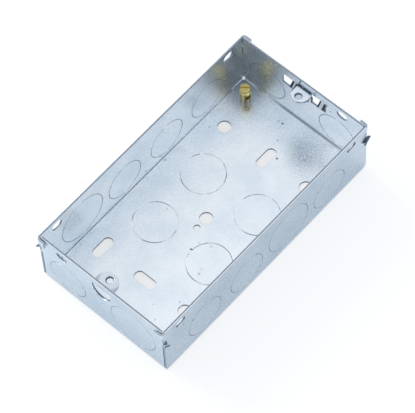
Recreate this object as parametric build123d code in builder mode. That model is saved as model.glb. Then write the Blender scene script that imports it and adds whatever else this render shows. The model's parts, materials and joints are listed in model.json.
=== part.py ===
from build123d import *
import os
from math import cos, pi, radians, sin, tan

# Twin flush back box for wiring accessories, lying on its back with the open side up.
# All sizes are in millimetres. The origin is the centre of the underside of the floor,
# +X runs along the box, +Y across it and +Z up to the open rim.

# Sheet and outside size
sheet = 1.0
length = 132.0
width = 72.0
depth = 35.0
bend_inside = 0.6
seam_gap = 0.35

# Corner locks: a tab of each long wall wraps round the end wall,
# and a twisted tongue of the end wall passes through a notch below it.
# Drops are measured down from the rim.
wrap_length = 4.4
wrap_height = 4.2
wrap_drop = 0.4
wrap_relief = 0.3
wrap_gap = 0.25
wrap_lift = 3.0
tongue_drop = 10.4
tongue_height = 5.0
tongue_twist = 41.0
twist_gap = 0.1
twist_length = 0.5
twisted_reach = 0.5
twist_steps = 5
tongue_clearance = 0.3
notch_end_gap = 0.8

# Knockouts: discs sheared nearly all round and held by two small ties.
# Those of the floor and the long walls are placed from the middle of the box.
knockout_small = 20.8
knockout_large = 25.8
slit_width = 0.3
tie_width = 2.0
floor_knockout_x = 16.0
floor_knockout_y = 15.9
side_knockout_inner = 13.7
side_knockout_outer = 40.8
small_knockout_level = 14.0
large_knockout_level = 16.6
end_left_inset = 15.5
end_right_inset = 16.0
end_large_inset = 18.5

# Holes in the floor, with insets from the ends and sides of the box
fixing_inset = 25.8
fixing_left_inset = 11.1
fixing_right_inset = 12.9
fixing_hole = 6.3
slot_width = 5.1
slot_length = 11.4
centre_hole = 6.4
pilot_hole = 3.3
pilot_offset = 6.2

# Oblong holes close under the rim
rim_slot_length = 6.0
rim_slot_width = 4.8
rim_slot_drop = 4.2
side_slot_inset = 10.5
end_slot_inset = 13.3

# Lugs that take the fixing screws of the wiring accessory, at 120.6 mm centres
screw_inset = 5.7
screw_hole = 3.5
hole_chamfer = 0.15
collar_diameter = 5.2
collar_height = 0.9
lug_drop = 4.0
fixed_lug_width = 10.8
fixed_lug_reach = 9.0

# Sliding lug: a bar behind the end wall, two ears folded in and down through its window,
# and a raised lug between them
lug_sheet = 1.0
lug_bend_inside = 0.1
lug_travel = 3.6
lug_rest = -1.7
slide_gap = 0.2
bar_drop = 15.1
bar_height = 4.2
left_ear_offset = 6.15
right_ear_offset = 9.65
ear_width = 3.3
ear_fold_drop = 3.9
ear_reach = 3.9
ear_slope = 49.0
plate_width = 8.9
plate_reach = 2.7
leg_gap = 0.5
neck_width = 5.0
shoulder_height = 5.4
window_drop = 4.8
window_height = 7.0
window_middle_height = 2.4
window_end_gap = 0.4
window_left_spare = 1.5
window_corner = 0.5

# Earth terminal: a brass pillar riveted to the floor, with a slotted clamp screw
terminal_inset_x = 8.7
terminal_inset_y = 8.8
pillar_diameter = 5.4
pillar_height = 7.7
pillar_edge = 0.4
rivet_diameter = 3.6
rivet_clearance = 0.03
wire_hole = 2.6
wire_hole_height = 4.6
wire_hole_turn = 70.0
clamp_diameter = 3.5
clamp_clearance = 0.05
clamp_length = 3.4
clamp_bore_depth = 3.6
head_diameter = 4.7
head_height = 1.6
head_gap = 0.5
head_edge = 0.25
head_slot_width = 0.7
head_slot_depth = 0.8
head_slot_turn = -48.0

# Sizes that follow from the ones above
bend_outside = bend_inside + sheet
wall_root = 2 * bend_outside
half_length = length / 2
half_width = width / 2
end_half = half_width - sheet - seam_gap
wrap_top = depth - wrap_drop
wrap_bottom = wrap_top - wrap_height
tongue_centre = depth - tongue_drop
notch_bottom = tongue_centre - tongue_height / 2 - notch_end_gap
notch_top = tongue_centre + tongue_height / 2 + notch_end_gap
notch_edge = half_length - sheet - tongue_clearance
end_knockout_left = half_width - end_left_inset
end_knockout_right = half_width - end_right_inset
end_knockout_large = half_width - end_large_inset
fixing_x = half_length - fixing_inset
fixing_left = half_width - fixing_left_inset
fixing_right = half_width - fixing_right_inset
rim_slot_level = depth - rim_slot_drop
side_rim_slot = half_length - side_slot_inset
end_rim_slot = half_width - end_slot_inset
screw_x = half_length - screw_inset
lug_level = depth - lug_drop
lug_bend_outside = lug_bend_inside + lug_sheet
bar_inner = half_length + slide_gap
bar_top = depth - bar_drop
bar_bottom = bar_top - bar_height
window_top = depth - window_drop
window_bottom = window_top - window_height
window_middle_top = window_bottom + window_middle_height
window_middle_left = lug_rest + left_ear_offset - ear_width / 2 - window_end_gap
window_middle_right = (neck_width + lug_travel) / 2 + window_end_gap
window_left = left_ear_offset + ear_width / 2 + lug_travel / 2 + window_end_gap + window_left_spare
window_right = right_ear_offset + ear_width / 2 + lug_travel / 2 + window_end_gap
neck_bottom = window_bottom + slide_gap
ear_fold = depth - ear_fold_drop
ear_tip = ear_fold - ear_reach * tan(radians(ear_slope))
leg_outer = half_length - sheet - leg_gap
plate_end = screw_x - plate_reach
terminal_x = half_length - terminal_inset_x
terminal_y = half_width - terminal_inset_y

floor_plane = Plane.XY.offset(sheet / 2)
left_plane = Plane.XZ.offset(-(half_width - sheet / 2))
right_plane = Plane.XZ.offset(half_width - sheet / 2)
far_plane = Plane.YZ.offset(half_length - sheet / 2)
near_plane = Plane.YZ.offset(-(half_length - sheet / 2))

# Knockouts as (plane, across, up, diameter, turn of the ties in degrees)
knockouts = [
    (floor_plane, floor_knockout_x, floor_knockout_y, knockout_small, 225),
    (floor_plane, floor_knockout_x, -floor_knockout_y, knockout_small, 135),
    (floor_plane, -floor_knockout_x, floor_knockout_y, knockout_small, 315),
    (floor_plane, -floor_knockout_x, -floor_knockout_y, knockout_small, 95),
    (left_plane, -side_knockout_outer, large_knockout_level, knockout_large, 90),
    (left_plane, -side_knockout_inner, small_knockout_level, knockout_small, 90),
    (left_plane, side_knockout_inner, small_knockout_level, knockout_small, 90),
    (left_plane, side_knockout_outer, small_knockout_level, knockout_small, 90),
    (right_plane, -side_knockout_outer, small_knockout_level, knockout_small, 90),
    (right_plane, -side_knockout_inner, small_knockout_level, knockout_small, 90),
    (right_plane, side_knockout_inner, large_knockout_level, knockout_large, 90),
    (right_plane, side_knockout_outer, small_knockout_level, knockout_small, 90),
    (near_plane, end_knockout_left, small_knockout_level, knockout_small, 90),
    (near_plane, -end_knockout_large, large_knockout_level, knockout_large, 90),
    (far_plane, end_knockout_left, small_knockout_level, knockout_small, 90),
    (far_plane, -end_knockout_right, small_knockout_level, knockout_small, 90),
]

# Round holes as (across, up, diameter), all in the floor
round_holes = [
    (0, 0, centre_hole),
    (-pilot_offset, 0, pilot_hole),
    (fixing_x, fixing_left, fixing_hole),
    (fixing_x, -fixing_right, fixing_hole),
    (-fixing_x, -fixing_right, fixing_hole),
    (terminal_x, terminal_y, rivet_diameter),
]

# Oblong holes as (plane, across, up, length, width, turn in degrees)
oblong_holes = [
    (floor_plane, fixing_x, 0, slot_length, slot_width, 0),
    (floor_plane, -fixing_x, fixing_left, slot_length, slot_width, 0),
    (floor_plane, -fixing_x, 0, slot_length, slot_width, 90),
    (left_plane, -side_rim_slot, rim_slot_level, rim_slot_length, rim_slot_width, 0),
    (left_plane, side_rim_slot, rim_slot_level, rim_slot_length, rim_slot_width, 0),
    (right_plane, -side_rim_slot, rim_slot_level, rim_slot_length, rim_slot_width, 0),
    (right_plane, side_rim_slot, rim_slot_level, rim_slot_length, rim_slot_width, 0),
    (near_plane, end_rim_slot, rim_slot_level, rim_slot_length, rim_slot_width, 0),
    (far_plane, -end_rim_slot, rim_slot_level, rim_slot_length, rim_slot_width, 0),
]


def pan_section(plane, span):
    """Section of the floor with a bend and the root of a wall at each side."""
    with BuildSketch(plane) as section:
        with BuildLine():
            outside = FilletPolyline(
                (-span / 2, wall_root),
                (-span / 2, 0),
                (span / 2, 0),
                (span / 2, wall_root),
                radius=bend_outside,
            )
            offset(outside, amount=sheet, side=Side.LEFT)
        make_face()
    return section.sketch


def strip_section(plane, points, radii, thickness):
    """Section of a strip that follows the points, with the sheet on their left."""
    with BuildSketch(plane) as section:
        with BuildLine():
            skin = FilletPolyline(*points, radius=radii)
            offset(skin, amount=thickness, side=Side.LEFT)
        make_face()
    return section.sketch


def tongue_corners(distance, turn):
    """Corners of a locking tongue's cross-section, turned about the tongue's own axis."""
    tilt = radians(turn)
    corners = []
    for across, up in ((-1, -1), (1, -1), (1, 1), (-1, 1)):
        x = across * sheet / 2
        z = up * tongue_height / 2
        corner_x = half_length - sheet / 2 + x * cos(tilt) - z * sin(tilt)
        corner_z = tongue_centre + x * sin(tilt) + z * cos(tilt)
        corners.append((corner_x, distance, corner_z))
    return corners


def twisted_tongue(sections):
    """Twisted end of a tongue between its cross-sections, with flat facets."""
    facets = [sections[0], sections[-1]]
    for near, far in zip(sections, sections[1:]):
        for edge in range(4):
            other = (edge + 1) % 4
            facets.append([near[edge], near[other], far[edge]])
            facets.append([near[other], far[other], far[edge]])
    return Solid(Shell([Face(Wire.make_polygon(facet)) for facet in facets]))


def knockout_slit(plane, across, up, diameter, turn):
    """Ring-shaped shear line of a knockout, broken by its two ties."""
    with BuildSketch(plane) as slit:
        with Locations((across, up)):
            Circle(diameter / 2)
            Circle(diameter / 2 - slit_width, mode=Mode.SUBTRACT)
            with PolarLocations(diameter / 2, 2, start_angle=turn):
                Rectangle(2 * tie_width, tie_width, mode=Mode.SUBTRACT)
    return slit.sketch


# Wrap tabs and twisted tongues at both corners of the far end
wrap_start = half_length + wrap_gap - bend_inside
wrap_end = half_width - wrap_length
wrap_rise = (half_width - bend_outside - wrap_end) * sin(radians(wrap_lift))
with BuildPart() as corner_lock:
    wrap_path = [
        (wrap_start - sheet, half_width - sheet),
        (wrap_start + bend_inside, half_width - sheet),
        (wrap_start + bend_inside + wrap_rise, wrap_end),
    ]
    extrude(
        strip_section(Plane.XY.offset(wrap_bottom), wrap_path, bend_inside, sheet),
        amount=wrap_top - wrap_bottom,
    )
    with BuildSketch(Plane.XZ.offset(-end_half + sheet)) as tongue_root:
        with Locations((half_length - sheet / 2, tongue_centre)):
            Rectangle(sheet, tongue_height)
    twist_start = half_width + twist_gap
    twist_end = twist_start + twist_length
    extrude(amount=-(twist_start - end_half + sheet))
    tongue_sections = []
    for step in range(twist_steps + 1):
        share = step / twist_steps
        tongue_sections.append(tongue_corners(twist_start + share * twist_length, -share * tongue_twist))
    tongue_sections.append(tongue_corners(twist_end + twisted_reach, -tongue_twist))
    add(twisted_tongue(tongue_sections))
    mirror(about=Plane.XZ)

# The box itself, pressed and folded from one sheet
with BuildPart() as box_shell:
    # Floor and bends
    extrude(pan_section(Plane.YZ, width), amount=half_length - bend_outside, both=True)
    extrude(pan_section(Plane.XZ, length), amount=half_width - bend_outside, both=True)

    # Long walls, cut back at each end for the tongue and for the wrap tab
    with BuildSketch(left_plane.offset(-sheet / 2)) as long_wall:
        with BuildLine():
            Polyline(
                (0, bend_outside),
                (half_length, bend_outside),
                (half_length, notch_bottom),
                (notch_edge, notch_bottom),
                (notch_edge, notch_top),
                (half_length, notch_top),
                (half_length, wrap_bottom - wrap_relief),
                (wrap_start, wrap_bottom - wrap_relief),
                (wrap_start, depth),
                (0, depth),
            )
            mirror(about=Plane.YZ)
        make_face()
    extrude(amount=sheet)
    mirror(about=Plane.XZ)

    # End walls, which stand between the long ones
    with BuildSketch(far_plane.offset(-sheet / 2)) as end_wall:
        with Locations((0, (bend_outside + depth) / 2)):
            Rectangle(2 * end_half, depth - bend_outside)
    extrude(amount=sheet)
    mirror(about=Plane.YZ)

    # Corner locks at both ends
    add(corner_lock.part)
    mirror(corner_lock.part, about=Plane.YZ)

    # Opening that the fixed lug was cut from, as long as the lug is when laid flat
    lug_radius = fixed_lug_width / 2
    lug_root = lug_level - sheet + bend_outside
    lug_bend_run = (bend_inside + sheet / 2) * pi / 2
    lug_opening_end = lug_root - lug_bend_run - (fixed_lug_reach - bend_outside)
    lug_opening_round = lug_opening_end + lug_radius
    with BuildSketch(near_plane) as lug_opening:
        with BuildLine():
            Polyline(
                (-lug_radius, lug_opening_round),
                (-lug_radius, lug_root),
                (lug_radius, lug_root),
                (lug_radius, lug_opening_round),
            )
            CenterArc((0, lug_opening_round), lug_radius, 180, 180)
        make_face()
    extrude(amount=sheet, both=True, mode=Mode.SUBTRACT)

    # Fixed lug: its bend, then its round-ended plate
    lug_flat = -half_length + bend_outside
    lug_arc_centre = -half_length + fixed_lug_reach - lug_radius
    with BuildSketch(Plane.XZ) as lug_bend:
        with BuildLine():
            FilletPolyline(
                (-half_length, lug_root + sheet / 2),
                (-half_length, lug_level - sheet),
                (lug_flat + sheet / 2, lug_level - sheet),
                radius=bend_outside,
            )
            FilletPolyline(
                (-half_length + sheet, lug_root + sheet / 2),
                (-half_length + sheet, lug_level),
                (lug_flat + sheet / 2, lug_level),
                radius=bend_inside,
            )
            Line((-half_length, lug_root + sheet / 2), (-half_length + sheet, lug_root + sheet / 2))
            Line((lug_flat + sheet / 2, lug_level - sheet), (lug_flat + sheet / 2, lug_level))
        make_face()
    extrude(amount=lug_radius, both=True)
    with BuildSketch(Plane.XY.offset(lug_level - sheet)) as lug_plate:
        with BuildLine():
            Polyline(
                (lug_arc_centre, lug_radius),
                (lug_flat, lug_radius),
                (lug_flat, -lug_radius),
                (lug_arc_centre, -lug_radius),
            )
            CenterArc((lug_arc_centre, 0), lug_radius, -90, 180)
        make_face()
    extrude(amount=sheet)
    with Locations((-screw_x, 0, lug_level - sheet - collar_height / 2)):
        Cylinder(collar_diameter / 2, collar_height)
    with Locations((-screw_x, 0, lug_level)):
        CounterSinkHole(screw_hole / 2, screw_hole / 2 + hole_chamfer, depth=2 * sheet + collar_height)

    # Window for the sliding lug
    with BuildSketch(far_plane) as window:
        with BuildLine():
            Polyline(
                (-window_right, window_bottom),
                (window_left, window_bottom),
                (window_left, window_top),
                (window_middle_left, window_top),
                (window_middle_left, window_middle_top),
                (-window_middle_right, window_middle_top),
                (-window_middle_right, window_top),
                (-window_right, window_top),
                close=True,
            )
        make_face()
        fillet(window.vertices(), window_corner)
    extrude(amount=sheet, both=True, mode=Mode.SUBTRACT)

    # Holes and knockouts
    for across, up, diameter in round_holes:
        with Locations((across, up, sheet)):
            Hole(diameter / 2, depth=sheet)
    for plane, across, up, hole_length, hole_width, turn in oblong_holes:
        with BuildSketch(plane):
            with Locations((across, up)):
                SlotOverall(hole_length, hole_width, rotation=turn)
        extrude(amount=sheet, both=True, mode=Mode.SUBTRACT)
    for knockout in knockouts:
        extrude(knockout_slit(*knockout), amount=sheet, both=True, mode=Mode.SUBTRACT)

box_shell.part.label = "box_shell"

# Sliding lug, folded from one strip: bar outside, ears and lug plate reaching inside
with BuildPart() as adjustable_lug:
    with BuildSketch(Plane.YZ.offset(bar_inner)) as bar:
        with Locations((lug_rest + (left_ear_offset - right_ear_offset) / 2, bar_bottom + bar_height / 2)):
            Rectangle(left_ear_offset + right_ear_offset + ear_width, bar_height)
    extrude(amount=lug_sheet)

    ear_path = [
        (bar_inner + lug_sheet, bar_bottom),
        (bar_inner + lug_sheet, ear_fold),
        (bar_inner + lug_sheet - ear_reach, ear_tip),
    ]
    for ear_offset in (left_ear_offset, -right_ear_offset):
        ear_plane = Plane.XZ.offset(-(lug_rest + ear_offset))
        extrude(
            strip_section(ear_plane, ear_path, lug_bend_outside, lug_sheet),
            amount=ear_width / 2,
            both=True,
        )

    plate_radius = plate_width / 2
    plate_flat = leg_outer - lug_bend_outside
    leg_path = [
        (bar_inner + lug_sheet, bar_bottom),
        (bar_inner + lug_sheet, neck_bottom + lug_sheet),
        (leg_outer, neck_bottom + lug_sheet),
        (leg_outer, lug_level),
        (plate_flat - lug_sheet, lug_level),
    ]
    leg_radii = [lug_bend_outside, lug_bend_inside, lug_bend_outside]
    plate_plane = Plane.XZ.offset(-lug_rest)
    extrude(
        strip_section(plate_plane, leg_path, leg_radii, lug_sheet),
        amount=neck_width / 2,
        both=True,
    )
    shoulder_path = [
        (leg_outer, lug_level - shoulder_height),
        (leg_outer, lug_level),
        (plate_flat - lug_sheet, lug_level),
    ]
    extrude(
        strip_section(plate_plane, shoulder_path, lug_bend_outside, lug_sheet),
        amount=plate_radius,
        both=True,
    )
    plate_arc_centre = plate_end + plate_radius
    with BuildSketch(Plane.XY.offset(lug_level - lug_sheet)) as plate:
        with BuildLine():
            Polyline(
                (plate_arc_centre, lug_rest - plate_radius),
                (plate_flat, lug_rest - plate_radius),
                (plate_flat, lug_rest + plate_radius),
                (plate_arc_centre, lug_rest + plate_radius),
            )
            CenterArc((plate_arc_centre, lug_rest), plate_radius, 90, 180)
        make_face()
    extrude(amount=lug_sheet)
    with Locations((screw_x, lug_rest, lug_level - lug_sheet - collar_height / 2)):
        Cylinder(collar_diameter / 2, collar_height)
    with Locations((screw_x, lug_rest, lug_level)):
        CounterSinkHole(screw_hole / 2, screw_hole / 2 + hole_chamfer, depth=2 * lug_sheet + collar_height)

adjustable_lug.part.label = "adjustable_lug"

# Brass pillar of the earth terminal, turned, drilled across and riveted through the floor
pillar_top = sheet + pillar_height
wire_level = sheet + wire_hole_height
with BuildPart(Plane((terminal_x, terminal_y, 0))) as earth_terminal:
    with BuildSketch(Plane((terminal_x, terminal_y, 0), x_dir=(1, 0, 0), z_dir=(0, -1, 0))) as pillar:
        with BuildLine():
            Polyline(
                (0, 0),
                (rivet_diameter / 2 - rivet_clearance, 0),
                (rivet_diameter / 2 - rivet_clearance, sheet),
                (pillar_diameter / 2, sheet),
                (pillar_diameter / 2, pillar_top - pillar_edge),
                (pillar_diameter / 2 - pillar_edge, pillar_top),
                (0, pillar_top),
                close=True,
            )
        make_face()
    revolve(axis=Axis((terminal_x, terminal_y, 0), (0, 0, 1)))
    with Locations((0, 0, pillar_top)):
        Hole(clamp_diameter / 2 + clamp_clearance, depth=clamp_bore_depth)
    turn_cosine = cos(radians(wire_hole_turn))
    turn_sine = sin(radians(wire_hole_turn))
    wire_plane = Plane((terminal_x, terminal_y, wire_level), x_dir=(0, 0, 1), z_dir=(turn_cosine, turn_sine, 0))
    with BuildSketch(wire_plane):
        Circle(wire_hole / 2)
    extrude(amount=pillar_diameter, both=True, mode=Mode.SUBTRACT)

earth_terminal.part.label = "earth_terminal"

# Slotted clamp screw in the top of the pillar
head_bottom = pillar_top + head_gap
head_top = head_bottom + head_height
with BuildPart() as terminal_screw:
    with BuildSketch(Plane((terminal_x, terminal_y, 0), x_dir=(1, 0, 0), z_dir=(0, -1, 0))) as screw:
        with BuildLine():
            Polyline(
                (0, head_bottom - clamp_length),
                (clamp_diameter / 2, head_bottom - clamp_length),
                (clamp_diameter / 2, head_bottom),
                (head_diameter / 2, head_bottom),
                (head_diameter / 2, head_top - head_edge),
                (head_diameter / 2 - head_edge, head_top),
                (0, head_top),
                close=True,
            )
        make_face()
    revolve(axis=Axis((terminal_x, terminal_y, 0), (0, 0, 1)))
    with BuildSketch(Plane((terminal_x, terminal_y, head_top - head_slot_depth))):
        Rectangle(2 * head_diameter, head_slot_width, rotation=head_slot_turn)
    extrude(amount=2 * head_slot_depth, mode=Mode.SUBTRACT)

terminal_screw.part.label = "terminal_screw"

os.makedirs("parts", exist_ok=True)
export_step(box_shell.part, "parts/box_shell.step")
export_step(adjustable_lug.part, "parts/adjustable_lug.step")
export_step(earth_terminal.part, "parts/earth_terminal.step")
export_step(terminal_screw.part, "parts/terminal_screw.step")
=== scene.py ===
import json
import math

import bmesh
import bpy
from bpy.props import FloatProperty, FloatVectorProperty, PointerProperty
from bpy.types import Operator, Panel, PropertyGroup
from mathutils import Matrix, Vector


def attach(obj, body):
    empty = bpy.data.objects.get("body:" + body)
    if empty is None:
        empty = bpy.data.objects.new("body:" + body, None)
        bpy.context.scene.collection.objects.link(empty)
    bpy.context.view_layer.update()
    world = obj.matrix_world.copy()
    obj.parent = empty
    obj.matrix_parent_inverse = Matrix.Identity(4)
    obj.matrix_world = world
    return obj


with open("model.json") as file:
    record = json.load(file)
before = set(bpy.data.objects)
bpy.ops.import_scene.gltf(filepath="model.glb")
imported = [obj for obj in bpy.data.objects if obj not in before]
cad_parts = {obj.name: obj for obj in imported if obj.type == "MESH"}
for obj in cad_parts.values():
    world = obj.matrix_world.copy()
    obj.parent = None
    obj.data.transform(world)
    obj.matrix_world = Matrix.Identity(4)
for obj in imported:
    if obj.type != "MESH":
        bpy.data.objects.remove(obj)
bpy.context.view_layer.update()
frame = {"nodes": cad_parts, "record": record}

bl_info = {
    "name": "Metal back box finishes",
    "version": (1, 0, 0),
    "blender": (4, 5, 0),
    "location": "3D View > Sidebar > Back Box",
    "description": "Finishes, threads and studio for a folded sheet steel back box",
    "category": "Object",
}

MM = 0.001
NODES = frame["nodes"]


def linear(hex_colour, alpha=1.0):
    """An sRGB hex colour as the linear RGBA that Blender's sockets take."""
    channels = []
    for start in (1, 3, 5):
        value = int(hex_colour[start:start + 2], 16) / 255
        channels.append(value / 12.92 if value <= 0.04045 else ((value + 0.055) / 1.055) ** 2.4)
    return (*channels, alpha)


def add_node(tree, kind, settings=None, links=None):
    """Add one node, set its properties and sockets, and link its inputs."""
    node = tree.nodes.new(kind)
    for name, value in (settings or {}).items():
        if isinstance(name, str) and hasattr(node, name):
            setattr(node, name, value)
        else:
            node.inputs[name].default_value = value
    for name, source in (links or {}).items():
        tree.links.new(source, node.inputs[name])
    return node


def new_material(name):
    """An empty node material and its Principled shader, already linked to the output."""
    material = bpy.data.materials.new(name)
    material.use_nodes = True
    tree = material.node_tree
    tree.nodes.clear()
    shader = add_node(tree, "ShaderNodeBsdfPrincipled")
    add_node(tree, "ShaderNodeOutputMaterial", links={"Surface": shader.outputs["BSDF"]})
    return material, tree, shader


def dress(node_name, material):
    """Give every slot of a CAD node the finished material."""
    for slot in NODES[node_name].material_slots:
        slot.material = material


def mesh_piece(name, mesh, material, body):
    """Link a finished mesh to the scene and let it ride on its body."""
    piece = bpy.data.objects.new(name, mesh)
    bpy.context.scene.collection.objects.link(piece)
    piece.data.materials.append(material)
    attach(piece, body)
    return piece


# Sheet of the box, the sheared lines in it, and what lies beyond its walls, in mm
SHEET = 1.0
SLIT_WIDTH = 0.3
BURR_SUNK = 0.1
LONG_WALL_Y = 35.0
END_WALL_OUTSIDE = 66.1

# Sheared lines of the knockouts: middle (X, Y, Z) and outer radius, in mm
KNOCKOUTS = (
    (16.0, 15.9, 0.5, 10.4), (16.0, -15.9, 0.5, 10.4),
    (-16.0, 15.9, 0.5, 10.4), (-16.0, -15.9, 0.5, 10.4),
    (-40.8, 35.5, 16.6, 12.9), (-13.7, 35.5, 14.0, 10.4),
    (13.7, 35.5, 14.0, 10.4), (40.8, 35.5, 14.0, 10.4),
    (-40.8, -35.5, 14.0, 10.4), (-13.7, -35.5, 14.0, 10.4),
    (13.7, -35.5, 16.6, 12.9), (40.8, -35.5, 14.0, 10.4),
    (-65.5, 20.5, 14.0, 10.4), (-65.5, -17.5, 16.6, 12.9),
    (65.5, 20.5, 14.0, 10.4), (65.5, -20.0, 14.0, 10.4),
)


# Dark specks and scuffs, and one mark of painted shade: place (X, Y, Z), radius in mm, and how
# dark
MARKS = (
    (58.3, 6.1, 1.0, 0.8, 0.9), (58.2, 8.2, 1.0, 0.9, 0.4), (50.3, 2.1, 1.0, 0.6, 0.6),
    (50.3, -13.6, 1.0, 0.6, 0.6), (53.1, -12.9, 1.0, 0.5, 0.4), (53.8, -14.8, 1.0, 0.5, 0.4),
    (51.3, -10.3, 1.0, 0.5, 0.4), (43.1, -3.8, 1.0, 0.8, 1.0), (10.2, 33.6, 1.0, 0.8, 0.6),
    (-7.6, 16.4, 1.0, 0.6, 0.35), (-15.8, -5.1, 1.0, 0.8, 1.0), (-11.2, -5.6, 1.0, 0.7, 0.3),
    (-9.0, -10.9, 1.0, 1.0, 0.25), (-22.6, -15.8, 1.0, 0.9, 0.45), (-20.3, -15.1, 1.0, 1.1, 0.2),
    (-38.3, -18.5, 1.0, 0.7, 0.4), (-46.7, -10.4, 1.0, 0.6, 0.3), (-51.6, -16.1, 1.0, 0.7, 0.35),
    (-0.7, 35.0, 4.0, 0.8, 0.9), (-7.0, -36.0, 22.2, 0.6, 0.8), (-5.0, -36.0, 8.1, 0.7, 0.7),
    # The mark at (-54.1, -36.0, 26.5) is painted shade: it stands for the dark end of a slot in
    # the right long wall
    (-54.1, -36.0, 26.5, 0.7, 0.8), (-48.3, -36.0, 21.7, 0.8, 0.9),
)

# Ears of the sliding lug: middle (Y) and half width of the strip along each left bright between
# painted shade at its margins, in mm
LUG_EARS = ((4.45, 0.35), (-11.35, 0.8))

# Fixed lug: middle (X, Y, Z), and where its root begins (X), in mm
FIXED_LUG = (-60.0, 0.0, 31.0)
FIXED_LUG_ROOT = -63.5

# A face lies along an axis where its normal is past this share of it
TURNED = 0.5


def in_millimetres(tree, place):
    """The place on the piece in mm."""
    return add_node(
        tree, "ShaderNodeVectorMath", {"operation": "SCALE", "Scale": 1 / MM}, {0: place},
    ).outputs["Vector"]


def face_mask(tree, spot, rows):
    """One on the faces that the rows name, nought elsewhere.

    Each row holds how a face lies (its normal across or along an axis) and three bands of
    distances from the middle planes of the box (axis, middle, half width, in mm).
    """
    size = add_node(tree, "ShaderNodeVectorMath", {"operation": "ABSOLUTE"}, {0: spot})
    away = add_node(tree, "ShaderNodeSeparateXYZ", links={0: size.outputs["Vector"]}).outputs
    facing = add_node(
        tree, "ShaderNodeVectorMath", {"operation": "ABSOLUTE"},
        {0: add_node(tree, "ShaderNodeNewGeometry").outputs["True Normal"]})
    normal = add_node(tree, "ShaderNodeSeparateXYZ", links={0: facing.outputs["Vector"]}).outputs
    total = None
    for test, across, bands in rows:
        inside = add_node(
            tree, "ShaderNodeMath", {"operation": test, 1: TURNED}, {0: normal[across]})
        for axis, middle, half in bands:
            band = add_node(
                tree, "ShaderNodeMath", {"operation": "COMPARE", 1: middle, 2: half},
                {0: away[axis]})
            inside = add_node(
                tree, "ShaderNodeMath", {"operation": "MULTIPLY"},
                {0: inside.outputs["Value"], 1: band.outputs["Value"]})
        if total is None:
            total = inside
        else:
            total = add_node(
                tree, "ShaderNodeMath", {"operation": "MAXIMUM"},
                {0: total.outputs["Value"], 1: inside.outputs["Value"]})
    return total.outputs["Value"]


def cut_edge_mask(tree, spot):
    """Sheared edges of the sheet: bare steel.

    A face of the sheet lies across one axis: floor Z, long walls Y, end walls X, and an edge of
    that sheet has its normal along it. On the walls only the torn, inner part of the sheared
    edge counts: its outer part is rolled over and keeps its zinc. The last two rows are the
    locking tongues and the outer part of the corner seams.
    """
    return face_mask(tree, spot, (
        ("LESS_THAN", "Z", (("X", 0, 64.4), ("Y", 0, 34.4), ("Z", 0.5, 0.55))),
        ("LESS_THAN", "Y", (("X", 0, 65.3), ("Y", 35.3, 0.35), ("Z", 21.6, 20.0))),
        ("LESS_THAN", "X", (("X", 65.3, 0.35), ("Y", 0, 34.5), ("Z", 21.6, 20.0))),
        ("LESS_THAN", "X", (("X", 0, 70.0), ("Y", 37.2, 1.15), ("Z", 24.0, 4.0))),
        ("GREATER_THAN", "Y", (("X", 65.75, 0.35), ("Y", 34.8, 0.25), ("Z", 18.0, 18.0))),
    ))


def grey_edge_and_shade_mask(tree, spot):
    """Edges of the wrap tabs and ends of the long walls, greyer; on the end faces of the wrap tabs
    the grey is painted shade of the gap behind each tab's end.
    """
    return face_mask(tree, spot, (
        ("GREATER_THAN", "Z", (("X", 66.9, 1.0), ("Y", 34.0, 2.5), ("Z", 32.5, 3.0))),
        ("GREATER_THAN", "Z", (("X", 65.7, 0.4), ("Y", 35.6, 0.6), ("Z", 32.5, 3.0))),
        ("GREATER_THAN", "Y", (("X", 66.9, 0.75), ("Y", 31.6, 0.4), ("Z", 32.5, 3.0))),
        ("GREATER_THAN", "X", (("X", 66.0, 0.1), ("Y", 35.5, 0.55), ("Z", 15.0, 13.5))),
    ))


def tongue_shade_mask(tree, spot):
    """The far right locking tongue, painted dark: painted shade for the shade and dark reflections
    round it.
    """
    tongues = face_mask(tree, spot, (
        ("LESS_THAN", "X", (("X", 0, 70.0), ("Y", 37.2, 1.15), ("Z", 24.0, 4.0))),
        ("GREATER_THAN", "X", (("X", 0, 70.0), ("Y", 37.2, 1.15), ("Z", 24.0, 4.0))),
    ))
    side = add_node(tree, "ShaderNodeSeparateXYZ", links={0: spot}).outputs
    right = add_node(
        tree, "ShaderNodeMath", {"operation": "LESS_THAN", 1: 0.0}, {0: side["Y"]})
    far = add_node(
        tree, "ShaderNodeMath", {"operation": "GREATER_THAN", 1: 0.0}, {0: side["X"]})
    corner = add_node(
        tree, "ShaderNodeMath", {"operation": "MULTIPLY"},
        {0: right.outputs["Value"], 1: far.outputs["Value"]})
    return add_node(
        tree, "ShaderNodeMath", {"operation": "MULTIPLY"},
        {0: tongues, 1: corner.outputs["Value"]},
    ).outputs["Value"]


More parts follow.
